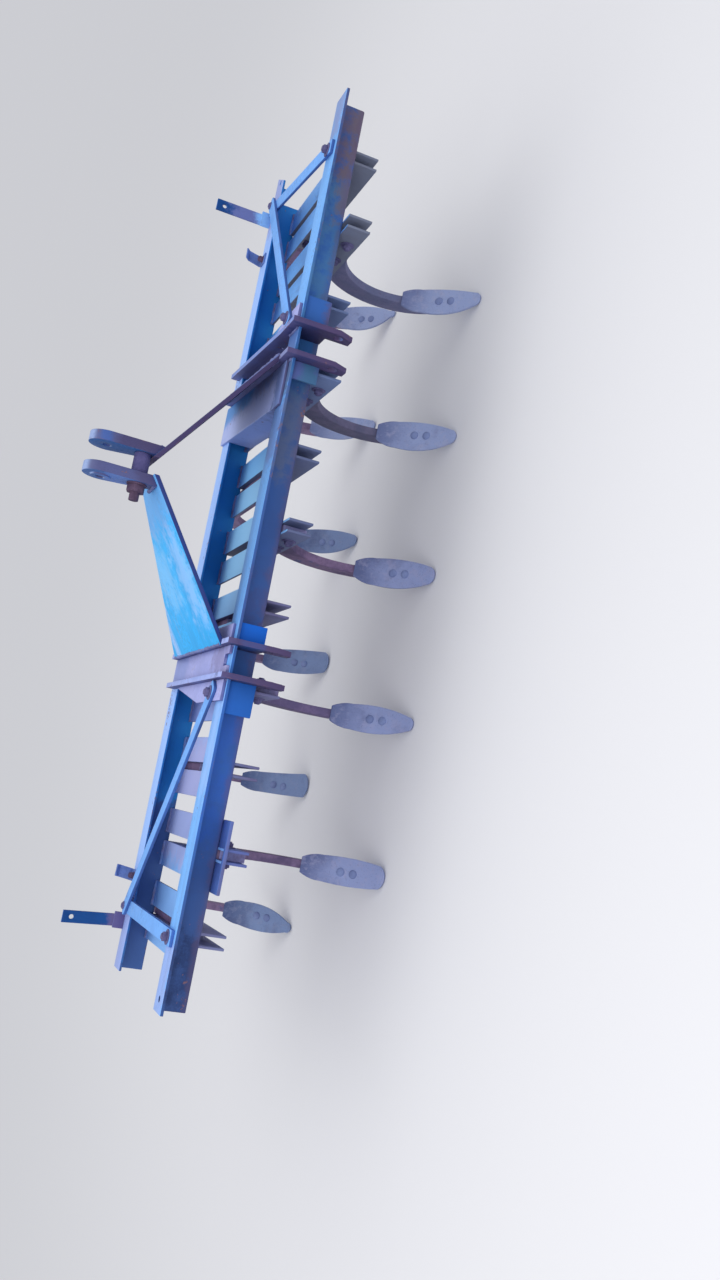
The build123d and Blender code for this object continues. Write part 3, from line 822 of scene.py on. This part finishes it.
class Repeats(Graph):
    """A Geometry Nodes tree with named inputs, which turns points or lines into one piece."""

    def __init__(self, name: str, sizes: dict[str, float | int]) -> None:
        """Start a tree.

        Args:
            name: The tree's name.
            sizes: The named inputs and their values.
        """
        super().__init__(bpy.data.node_groups.new(name, "GeometryNodeTree"))
        face = self.tree.interface
        face.new_socket("Geometry", in_out="INPUT", socket_type="NodeSocketGeometry")
        face.new_socket("Geometry", in_out="OUTPUT", socket_type="NodeSocketGeometry")
        self.sizes: dict[str, float | int] = {}
        for key, value in sizes.items():
            kind = "NodeSocketInt" if isinstance(value, int) else "NodeSocketFloat"
            self.sizes[face.new_socket(key, in_out="INPUT", socket_type=kind).identifier] = value
        self.start = self.tree.nodes.new("NodeGroupInput")

    def given(self, name: str) -> Value:
        """Return one of the tree's inputs."""
        return Value(self, self.start.outputs[name])

    def rod(self, sides: int, radius: Value, depth: Value, height: Value) -> Value:
        """Return an upright rod of so many sides, with its middle at a height."""
        values = {"Vertices": sides, "Radius": radius, "Depth": depth}
        made = self.node("GeometryNodeMeshCylinder", {}, values)
        lift = self.node("ShaderNodeCombineXYZ", {}, {2: height})
        return self.node("GeometryNodeTransform", {}, {"Geometry": made, "Translation": lift})

    def join(self, parts: Sequence[Value]) -> Value:
        """Return several shapes as one."""
        whole = self.node("GeometryNodeJoinGeometry", {}, {})
        for part in parts:
            self.tree.links.new(part.socket, whole.socket.node.inputs[0])
        return whole

    def on_points(self, shape: Value, spin: Value | float = 0.0) -> Value:
        """Put a shape on each point, with its top the way that the point faces.

        Args:
            shape: The shape, made upright at the origin.
            spin: How far each one is turned about itself, in radians.

        Returns:
            The placed shapes.
        """
        settings = {"data_type": "FLOAT_VECTOR"}
        facing = self.node("GeometryNodeInputNamedAttribute", settings, {"Name": "facing"})
        turn = self.node("FunctionNodeAlignRotationToVector", {"axis": "Z"}, {"Vector": facing})
        about = self.node("FunctionNodeAxisAngleToRotation", {}, {"Axis": (0.0, 0.0, 1.0), "Angle": spin})
        turned = self.node("FunctionNodeRotateRotation", {"rotation_space": "LOCAL"}, {0: turn, 1: about})
        values = {"Points": self.given("Geometry"), "Instance": shape, "Rotation": turned}
        return self.node("GeometryNodeInstanceOnPoints", {}, values)

    def run(
        self, name: str, source: bpy.types.Mesh, geometry: Value, material: bpy.types.Material
    ) -> bpy.types.Object:
        """Run the tree on a mesh and keep the result as a plain mesh piece.

        Args:
            name: The piece's name.
            source: The mesh whose points or lines it starts from.
            geometry: What the tree has made.
            material: What it is finished in.

        Returns:
            The finished piece.
        """
        real = self.node("GeometryNodeRealizeInstances", {}, {0: geometry})
        dressed = self.node("GeometryNodeSetMaterial", {}, {"Geometry": real, "Material": material})
        end = self.tree.nodes.new("NodeGroupOutput")
        self.tree.links.new(dressed.socket, end.inputs[0])
        holder = object_from(source.name, source)
        modifier = holder.modifiers.new("nodes", "NODES")
        modifier.node_group = self.tree
        for identifier, value in self.sizes.items():
            modifier[identifier] = value
        return to_plain_mesh(holder, name)


class Facing(Enum):
    """The straight ways that bolts face."""

    LEFT = (-1.0, 0.0, 0.0)
    RIGHT = (1.0, 0.0, 0.0)
    UP = (0.0, 0.0, 1.0)


@dataclass(frozen=True)
class Bolt:
    """One bolt head or nut, by the place that it sits on and the way that it faces."""

    place: Triple
    facing: Triple = Facing.UP.value


def bolt_points(name: str, bolts: Sequence[Bolt]) -> bpy.types.Mesh:
    """Return a mesh with one point at each bolt, which holds the way that it faces."""
    mesh = bpy.data.meshes.new(name + "_points")
    mesh.from_pydata([bolt.place for bolt in bolts], [], [])
    facing = mesh.attributes.new("facing", "FLOAT_VECTOR", "POINT")
    for index, bolt in enumerate(bolts):
        facing.data[index].vector = bolt.facing
    return mesh


@dataclass(frozen=True)
class HexHeads:
    """Hexagon heads and nuts on round washers, each turned a little by chance."""

    material: bpy.types.Material
    across: float = 0.019
    height: float = 0.0085
    washer: float = 0.0165
    washer_wall: float = 0.0025
    thread: float = 0.0065
    thread_length: float = 0.006
    corner: float = 0.577
    edge: float = 0.0009
    turn: float = 1.05
    seed: int = 7

    def build(self, name: str, bolts: Sequence[Bolt]) -> None:
        """Make a group of heads as one piece.

        Args:
            name: The piece's name.
            bolts: Where they are and how they face.
        """
        sizes = {
            "Head Radius": self.across * self.corner,
            "Head Height": self.height,
            "Washer Radius": self.washer,
            "Washer Wall": self.washer_wall,
            "Thread Radius": self.thread,
            "Thread Length": self.thread_length,
            "Seed": self.seed,
        }
        tree = Repeats("hex_heads", sizes)
        wall = tree.given("Washer Wall")
        depth = tree.given("Head Height")
        middle = depth * 0.5 + wall
        head = tree.rod(6, tree.given("Head Radius"), depth, middle)
        washer = tree.rod(20, tree.given("Washer Radius"), wall, wall * 0.5)
        thread = tree.rod(14, tree.given("Thread Radius"), tree.given("Thread Length"), middle + depth * 0.5)
        values = {2: 0.0, 3: self.turn, "Seed": tree.given("Seed")}
        spin = tree.node("FunctionNodeRandomValue", {"data_type": "FLOAT"}, values, 1)
        heads = tree.on_points(tree.join((head, washer, thread)), spin)
        piece = tree.run(name, bolt_points(name, bolts), heads, self.material)
        soften(piece, self.edge)
        carry(piece)


@dataclass(frozen=True)
class DomedHeads:
    """Low domed bolt heads."""

    material: bpy.types.Material
    radius: float = 0.0105
    height: float = 0.0050

    def build(self, name: str, bolts: Sequence[Bolt]) -> None:
        """Make a group of domed heads as one piece.

        Args:
            name: The piece's name.
            bolts: Where they are and how they face.
        """
        tree = Repeats("domed_heads", {"Dome Radius": self.radius, "Dome Height": self.height})
        ball = tree.node("GeometryNodeMeshUVSphere", {}, {"Segments": 20, "Rings": 12, "Radius": 1.0})
        radius = tree.given("Dome Radius")
        shape = tree.node("ShaderNodeCombineXYZ", {}, {0: radius, 1: radius, 2: tree.given("Dome Height")})
        dome = tree.node("GeometryNodeTransform", {}, {"Geometry": ball, "Scale": shape})
        smooth = tree.node("GeometryNodeSetShadeSmooth", {}, {"Geometry": dome})
        carry(tree.run(name, bolt_points(name, bolts), tree.on_points(smooth), self.material))


@dataclass(frozen=True)
class WeldSeams:
    """Lumpy weld beads along straight joins."""

    material: bpy.types.Material
    radius: float = 0.0042
    lumps: float = 0.0016
    step: float = 0.006

    def build(self, name: str, seams: Sequence[Seam]) -> None:
        """Lay beads along joins as one piece.

        Args:
            name: The piece's name.
            seams: The two ends of each join.
        """
        mesh = bpy.data.meshes.new(name + "_lines")
        ends = [end for seam in seams for end in seam]
        mesh.from_pydata(ends, [(2 * index, 2 * index + 1) for index in range(len(seams))], [])
        tree = Repeats("weld_beads", {"Bead Radius": self.radius, "Lumps": self.lumps, "Step": self.step})
        line = tree.node("GeometryNodeMeshToCurve", {}, {0: tree.given("Geometry")})
        values = {"Curve": line, "Length": tree.given("Step")}
        line = tree.node("GeometryNodeResampleCurve", {"mode": "LENGTH"}, values)
        noise = tree.node("ShaderNodeTexNoise", {}, {"Scale": 150.0, "Detail": 2.0}, "Color")
        centred = tree.node("ShaderNodeVectorMath", {"operation": "SUBTRACT"}, {0: noise, 1: (0.5, 0.5, 0.5)})
        values = {0: centred, "Scale": tree.given("Lumps")}
        moved = tree.node("ShaderNodeVectorMath", {"operation": "SCALE"}, values)
        line = tree.node("GeometryNodeSetPosition", {}, {"Geometry": line, "Offset": moved})
        ripple = tree.node("ShaderNodeTexNoise", {}, {"Scale": 95.0, "Detail": 1.0})
        values = {"Value": ripple, "From Min": 0.3, "From Max": 0.7, "To Min": 0.7, "To Max": 1.25}
        size = tree.node("ShaderNodeMapRange", {}, values)
        line = tree.node("GeometryNodeSetCurveRadius", {}, {"Curve": line, "Radius": size})
        values = {"Resolution": 7, "Radius": tree.given("Bead Radius")}
        section = tree.node("GeometryNodeCurvePrimitiveCircle", {}, values)
        values = {"Curve": line, "Profile Curve": section, "Scale": size, "Fill Caps": True}
        bead = tree.node("GeometryNodeCurveToMesh", {}, values)
        smooth = tree.node("GeometryNodeSetShadeSmooth", {}, {"Geometry": bead})
        carry(tree.run(name, mesh, smooth, self.material))


@dataclass(frozen=True)
class RearClips:
    """Clips of bent strip on the rear beam, which lean right and twist as they rise.

    The outline is the strip from the side, by its distance behind the beam and its height above it.
    """

    material: bpy.types.Material
    places: Range
    width: float = 0.030
    wall: float = 0.004
    lean: float = 0.15
    twist: float = 0.12
    edge: float = 0.0012
    outline: tuple[Range, ...] = (
        (-0.046, 0.0),
        (-0.012, 0.0),
        (-0.007, 0.005),
        (-0.010, 0.040),
        (-0.022, 0.050),
    )

    def rim(
        self, work: bmesh.types.BMesh, middle: float, side: float, twist: float
    ) -> list[bmesh.types.BMVert]:
        """Add the points along one side of a clip.

        Args:
            work: The mesh to add them to.
            middle: The clip's place along the beam.
            side: The side, with -0.5 on the left and 0.5 on the right.
            twist: How far the right side turns back as it rises.

        Returns:
            The points.
        """
        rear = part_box("rear_beam")[1]
        start = middle + side * self.width
        return [
            work.verts.new((start + rise * self.lean, rear[1] + back + side * rise * twist, rear[2] + rise))
            for back, rise in self.outline
        ]

    def strip(self) -> bpy.types.Mesh:
        """Return the clips as a sheet without thickness."""
        work = bmesh.new()
        for middle, twist in zip(self.places, (-self.twist, self.twist)):
            left, right = (self.rim(work, middle, side, twist) for side in (-0.5, 0.5))
            for index in range(len(self.outline) - 1):
                work.faces.new((left[index], left[index + 1], right[index + 1], right[index]))
        bmesh.ops.recalc_face_normals(work, faces=work.faces)
        mesh = bpy.data.meshes.new("rear_clips_strip")
        work.to_mesh(mesh)
        work.free()
        return mesh

    def build(self, name: str) -> None:
        """Make the clips as one piece."""
        mesh = self.strip()
        source = object_from(name + "_source", mesh)
        solid = source.modifiers.new("wall", "SOLIDIFY")
        solid.thickness = self.wall
        solid.offset = 1.0 if mesh.polygons[0].normal.z > 0 else -1.0
        bevel = source.modifiers.new("edges", "BEVEL")
        bevel.width = self.edge
        bevel.segments = 2
        piece = to_plain_mesh(source, name)
        piece.data.materials.clear()
        piece.data.materials.append(self.material)
        carry(piece)


HANDS = ("left", "right")
HITCH_PLATES = ("hitch_left_outer", "hitch_left_inner", "hitch_right_inner", "hitch_right_outer")


@dataclass(frozen=True)
class MetalWork:
    """The rolled, cut and forged pieces, dressed over their solids with softened edges."""

    finishes: Finishes
    tines: Tines
    slots: dict[str, str]
    edge: float = 0.0014
    pale_from: int = 8

    def plan(self) -> Iterable[tuple[str, Finish]]:
        """Yield each solid with its finish."""
        yield "front_beam", BEAM_PAINT
        yield "rear_beam", BEAM_PAINT
        for station in self.tines.stations():
            yield f"carrier_{station:02d}", SLAT_PAINT
            yield f"shank_{station:02d}", SHANK_RUST
            worn = SHOVEL_DULL if station % 2 else SHOVEL_GREY
            yield f"shovel_{station:02d}", SHOVEL_PALE if station >= self.pale_from else worn
        for name in HITCH_PLATES:
            yield name, HITCH_PAINT
        for name in ("bridge_plate", "gusset_left", "gusset_right", "mast_foot_left"):
            yield name, CHALK_PAINT
        yield "mast_foot_right", RIGHT_FOOT_PAINT
        yield "mast_leg_left", MAST_PAINT
        yield "mast_leg_right", FAR_LEG_PAINT
        for hand in HANDS:
            yield f"mast_ear_{hand}", EAR_PAINT
        yield "mast_crossbar", BAR_RUST
        for name in ("end_bar_left", "end_bar_right", "brace_left", "brace_right"):
            yield name, FLAT_PAINT
        for name in ("cleat_left_outer", "cleat_left_inner", "cleat_right_inner", "cleat_right_outer"):
            yield name, CLEAT_PAINT
        yield "under_strip", STRIP_PAINT
        for hand in HANDS:
            yield f"post_{hand}", POST_PAINT

    def dress(self, node: str, finish: Finish) -> None:
        """Stand a softened copy in for a solid.

        Args:
            node: The solid's name.
            finish: The finish that the piece has.
        """
        mesh = frame["nodes"][node].data.copy()
        mesh.name = node + "_dressed"
        mesh.materials.clear()
        mesh.materials.append(self.finishes.get(finish))
        piece = object_from(node + "_dressed", mesh)
        soften(piece, self.edge)
        for polygon in mesh.polygons:
            polygon.material_index = 0
        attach(piece, "root")
        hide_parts(node)
        LOG.info("dressed %s with %d faces", node, len(mesh.polygons))

    def build(self) -> None:
        """Dress every solid in the finish that the real one has."""
        for node, finish in self.plan():
            self.dress(node, finish)


@dataclass(frozen=True)
class Hardware:
    """Bolts, clips and weld seams where the pieces meet.

    A size that is named after a bolt or seam is its distance from an end or face of the piece
    that it is on, and a pitch runs from one bolt to the next.
    """

    finishes: Finishes
    tines: Tines
    leg_wall: float = 0.0063
    clamp_bolt_front: float = 0.085
    clamp_bolt_rear: float = 0.13
    clamp_bolt_pitch: float = 0.09
    clamp_bolt_rise: float = 0.029
    bar_width: float = 0.035
    bar_bolt_front: float = 0.024
    bar_bolt_rear: float = 0.030
    brace_bolt_side: float = 0.028
    brace_bolt_front: float = 0.026
    mast_nut_out: float = 0.022
    clips: Range = (-0.853, 0.825)
    clip_bolt_rear: float = 0.030
    clip_bolt_rise: float = 0.003
    plate_half: float = 0.0065
    slat_seam_in: float = 0.001
    slat_seam_rise: float = 0.0005
    leg_seam_ends: Range = (0.02, 0.01)
    flange_seam_in: float = 0.004
    ear_seam_in: Triple = (0.004, 0.012, 0.006)

    def shovel_bolts(self) -> list[Bolt]:
        """Return the two bolts through each shovel."""
        return [
            Bolt(*self.tines.on_shovel(station, angle))
            for station in self.tines.stations()
            for angle in self.tines.bolt_angles
        ]

    def carrier_bolts(self) -> list[Bolt]:
        """Return the ends of the clamp bolts, two through the legs of each carrier."""
        found = []
        leg = self.tines.shank_thick / 2 + self.leg_wall
        for station in self.tines.stations():
            low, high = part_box(f"carrier_{station:02d}")
            middle = self.tines.middle(station)
            height = self.tines.head_z(station) + self.clamp_bolt_rise
            start = high[1] - self.clamp_bolt_rear if station % 2 else low[1] + self.clamp_bolt_front
            for place in (start, start + self.clamp_bolt_pitch):
                found.append(Bolt((middle - leg, place, height), Facing.LEFT.value))
                found.append(Bolt((middle + leg, place, height), Facing.RIGHT.value))
        return found

    def frame_bolts(self) -> list[Bolt]:
        """Return the bolts through the end bars and braces."""
        found = []
        half = self.bar_width / 2
        for hand in HANDS:
            low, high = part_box(f"end_bar_{hand}")
            found.append(Bolt((low[0] + half, low[1] + self.bar_bolt_front, high[2])))
            found.append(Bolt((high[0] - half, high[1] - self.bar_bolt_rear, high[2])))
        for hand in HANDS:
            low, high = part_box(f"brace_{hand}")
            across = high[0] - self.brace_bolt_side if hand == "left" else low[0] + self.brace_bolt_side
            found.append(Bolt((across, low[1] + self.brace_bolt_front, high[2])))
        return found

    def mast_nut(self) -> list[Bolt]:
        """Return the heavy nut outside the left ear, level with the crossbar."""
        low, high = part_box("mast_crossbar")
        y, z = (low[1] + high[1]) / 2, (low[2] + high[2]) / 2
        return [Bolt((low[0] - self.mast_nut_out, y, z), Facing.LEFT.value)]

    def clip_bolts(self) -> list[Bolt]:
        """Return the small bolt that holds each clip to the rear beam."""
        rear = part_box("rear_beam")[1]
        y, z = rear[1] - self.clip_bolt_rear, rear[2] + self.clip_bolt_rise
        return [Bolt((place, y, z)) for place in self.clips]

    def slat_seams(self) -> list[Seam]:
        """Return the joins where the slats meet the two webs."""
        found = []
        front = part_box("front_beam")[1][1]
        inner = self.tines.shank_thick / 2 + self.slat_seam_in
        for station in self.tines.stations():
            low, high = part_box(f"carrier_{station:02d}")
            middle = self.tines.middle(station)
            outer = (high[0] - low[0]) / 2
            height = high[2] + self.slat_seam_rise
            for side in (-1, 1):
                for y in (front + self.slat_seam_in, high[1] - self.slat_seam_in):
                    found.append(((middle + side * inner, y, height), (middle + side * outer, y, height)))
        return found

    def beside(self, start: Triple, end: Triple) -> list[Seam]:
        """Return the joins along the two faces of a plate whose middle runs from start to end."""
        return [
            ((start[0] + shift, *start[1:]), (end[0] + shift, *end[1:]))
            for shift in (-self.plate_half, self.plate_half)
        ]

    def mast_seams(self) -> list[Seam]:
        """Return the joins at the foot and the top of the mast, where the right plate leans aside."""
        found = []
        first, last = self.leg_seam_ends
        inward, along, up = self.ear_seam_in
        for hand in HANDS:
            leg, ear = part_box(f"mast_leg_{hand}"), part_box(f"mast_ear_{hand}")
            low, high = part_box(f"hitch_{hand}_inner")
            front = low[0] + self.plate_half
            rear = high[0] - self.plate_half if hand == "right" else front
            found += self.beside((front, leg[0][1] + first, high[2]), (rear, leg[1][1] - last, high[2]))
            outer = ear[1][0] - inward if hand == "right" else ear[0][0] + inward
            height = ear[0][2] + up
            found.append(((outer, ear[0][1] + along, height), (outer, ear[1][1] - along, height)))
        return found

    def hitch_seams(self) -> list[Seam]:
        """Return the joins of the hitch plates on the front beam's flange."""
        found = []
        low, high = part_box("front_beam")
        for plate in HITCH_PLATES:
            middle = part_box(plate)[0][0] + self.plate_half
            start = (middle, low[1] + self.flange_seam_in, high[2])
            found += self.beside(start, (middle, high[1] - self.flange_seam_in, high[2]))
        return found

    def build(self) -> None:
        """Make the bolts, clips and seams."""
        common = HexHeads(self.finishes.get(BOLT_RUST))
        dark = self.finishes.get(NUT_RUST)
        small = HexHeads(dark, across=0.014, washer=0.010)
        heavy = HexHeads(
            dark,
            across=0.036,
            height=0.016,
            washer=0.022,
            washer_wall=0.004,
            thread=0.011,
            thread_length=0.036,
        )
        DomedHeads(self.finishes.get(STUD_STEEL)).build("shovel_studs", self.shovel_bolts())
        common.build("carrier_bolts", self.carrier_bolts())
        common.build("frame_bolts", self.frame_bolts())
        small.build("clip_bolts", self.clip_bolts())
        heavy.build("mast_nut", self.mast_nut())
        RearClips(self.finishes.get(CLIP_RUST), self.clips).build("rear_clips")
        seams = WeldSeams(self.finishes.get(WELD_RUST))
        seams.build("slat_seams", self.slat_seams())
        seams.build("mast_seams", self.mast_seams())
        seams.build("hitch_seams", self.hitch_seams())


@dataclass(frozen=True)
class Lamp:
    """A square lamp, by its place, its width and its power in watts."""

    name: str
    place: Triple
    size: float
    power: float


@dataclass(frozen=True)
class Studio:
    """Pale floor, soft light from above and the camera, which was held on its side.

    Angles are in radians, the sensor is in millimetres and the sky is the fill light.
    """

    place: Triple = (-0.6221, -2.9262, 1.0861)
    yaw: float = 0.16306
    pitch: float = 0.34244
    roll: float = -0.23854
    focal_share: float = 0.9083
    sensor: float = 36.0
    far: float = 200.0
    floor_half: float = 60.0
    floor_colour: Triple = srgb(226, 226, 230)
    sky_colour: Triple = (0.97, 0.98, 1.0)
    sky: float = 0.82
    aim: Triple = (0.0, 0.0, 0.3)
    lamps: tuple[Lamp, ...] = (
        Lamp("key", (1.0, -0.5, 3.6), 3.2, 20.0),
        Lamp("front", (-1.3, -3.1, 2.1), 3.0, 46.0),
    )

    def stand(self, name: str, data: bpy.types.ID, place: Triple, turn: Matrix) -> bpy.types.Object:
        """Put the camera or a lamp in the scene.

        Args:
            name: The object's name.
            data: The camera or lamp.
            place: Where it stands.
            turn: How it is turned.

        Returns:
            The object.
        """
        made = bpy.data.objects.new(name, data)
        made.matrix_world = Matrix.Translation(Vector(place)) @ turn.to_4x4()
        bpy.context.scene.collection.objects.link(made)
        return made

    def camera(self) -> None:
        """Set up the camera at the photograph's place and angle."""
        level = math.cos(self.pitch)
        ahead = Vector((math.sin(self.yaw) * level, math.cos(self.yaw) * level, -math.sin(self.pitch)))
        right = Vector((math.cos(self.yaw), -math.sin(self.yaw), 0.0))
        down = ahead.cross(right)
        rolled_right = right * math.cos(self.roll) + down * math.sin(self.roll)
        rolled_down = down * math.cos(self.roll) - right * math.sin(self.roll)
        turn = Matrix((rolled_down, rolled_right, -ahead)).transposed()
        data = bpy.data.cameras.new("camera")
        data.sensor_fit = "VERTICAL"
        data.sensor_height = self.sensor
        data.lens = self.sensor * self.focal_share
        data.clip_end = self.far
        bpy.context.scene.camera = self.stand("camera", data, self.place, turn)

    def floor(self) -> None:
        """Lay the pale floor."""
        shader = Shader("studio_floor")
        shader.surface.inputs["Base Color"].default_value = (*self.floor_colour, 1)
        shader.surface.inputs["Roughness"].default_value = 1.0
        shader.surface.inputs["Specular IOR Level"].default_value = 0.0
        half = self.floor_half
        mesh = bpy.data.meshes.new("floor")
        corners = [(-half, -half, 0), (half, -half, 0), (half, half, 0), (-half, half, 0)]
        mesh.from_pydata(corners, [], [(0, 1, 2, 3)])
        mesh.materials.append(shader.material)
        object_from("floor", mesh)

    def world(self) -> None:
        """Fill in light from all round, where the camera and gloss see the floor's colour instead."""
        world = bpy.data.worlds.new("studio")
        bpy.context.scene.world = world
        world.use_nodes = True
        tree = Graph(world.node_tree)
        fill = world.node_tree.nodes["Background"]
        fill.inputs["Color"].default_value = (*self.sky_colour, 1)
        fill.inputs["Strength"].default_value = self.sky
        far_floor = tuple(floor * sky for floor, sky in zip(self.floor_colour, self.sky_colour))
        seen = tree.node("ShaderNodeBackground", {}, {"Color": far_floor, "Strength": self.sky})
        camera_ray = tree.node("ShaderNodeLightPath", {}, {}, "Is Camera Ray")
        glossy_ray = tree.node("ShaderNodeLightPath", {}, {}, "Is Glossy Ray")
        values = {0: camera_ray.most(glossy_ray), 1: Value(tree, fill.outputs[0]), 2: seen}
        blend = tree.node("ShaderNodeMixShader", {}, values)
        world.node_tree.links.new(blend.socket, world.node_tree.nodes["World Output"].inputs["Surface"])

    def lights(self) -> None:
        """Light the machine softly from above and the front."""
        for lamp in self.lamps:
            data = bpy.data.lights.new(lamp.name, "AREA")
            data.shape = "SQUARE"
            data.size = lamp.size
            data.energy = lamp.power
            turn = (Vector(self.aim) - Vector(lamp.place)).to_track_quat("-Z", "Y").to_matrix()
            self.stand(lamp.name, data, lamp.place, turn)

    def build(self) -> None:
        """Set up the studio."""
        bpy.context.scene.view_settings.view_transform = "Standard"
        self.camera()
        self.floor()
        self.world()
        self.lights()


def main() -> None:
    """Build the machine's looks in order."""
    logging.basicConfig(level=logging.INFO, format="%(name)s: %(message)s")
    finishes = Finishes()
    tines = Tines()
    Studio().build()
    slots = {row["node"]: row["material_slot"] for row in frame["record"]["subparts"]}
    MetalWork(finishes, tines, slots).build()
    Hardware(finishes, tines).build()
    LOG.info("finished")


if __name__ == "__main__":
    main()
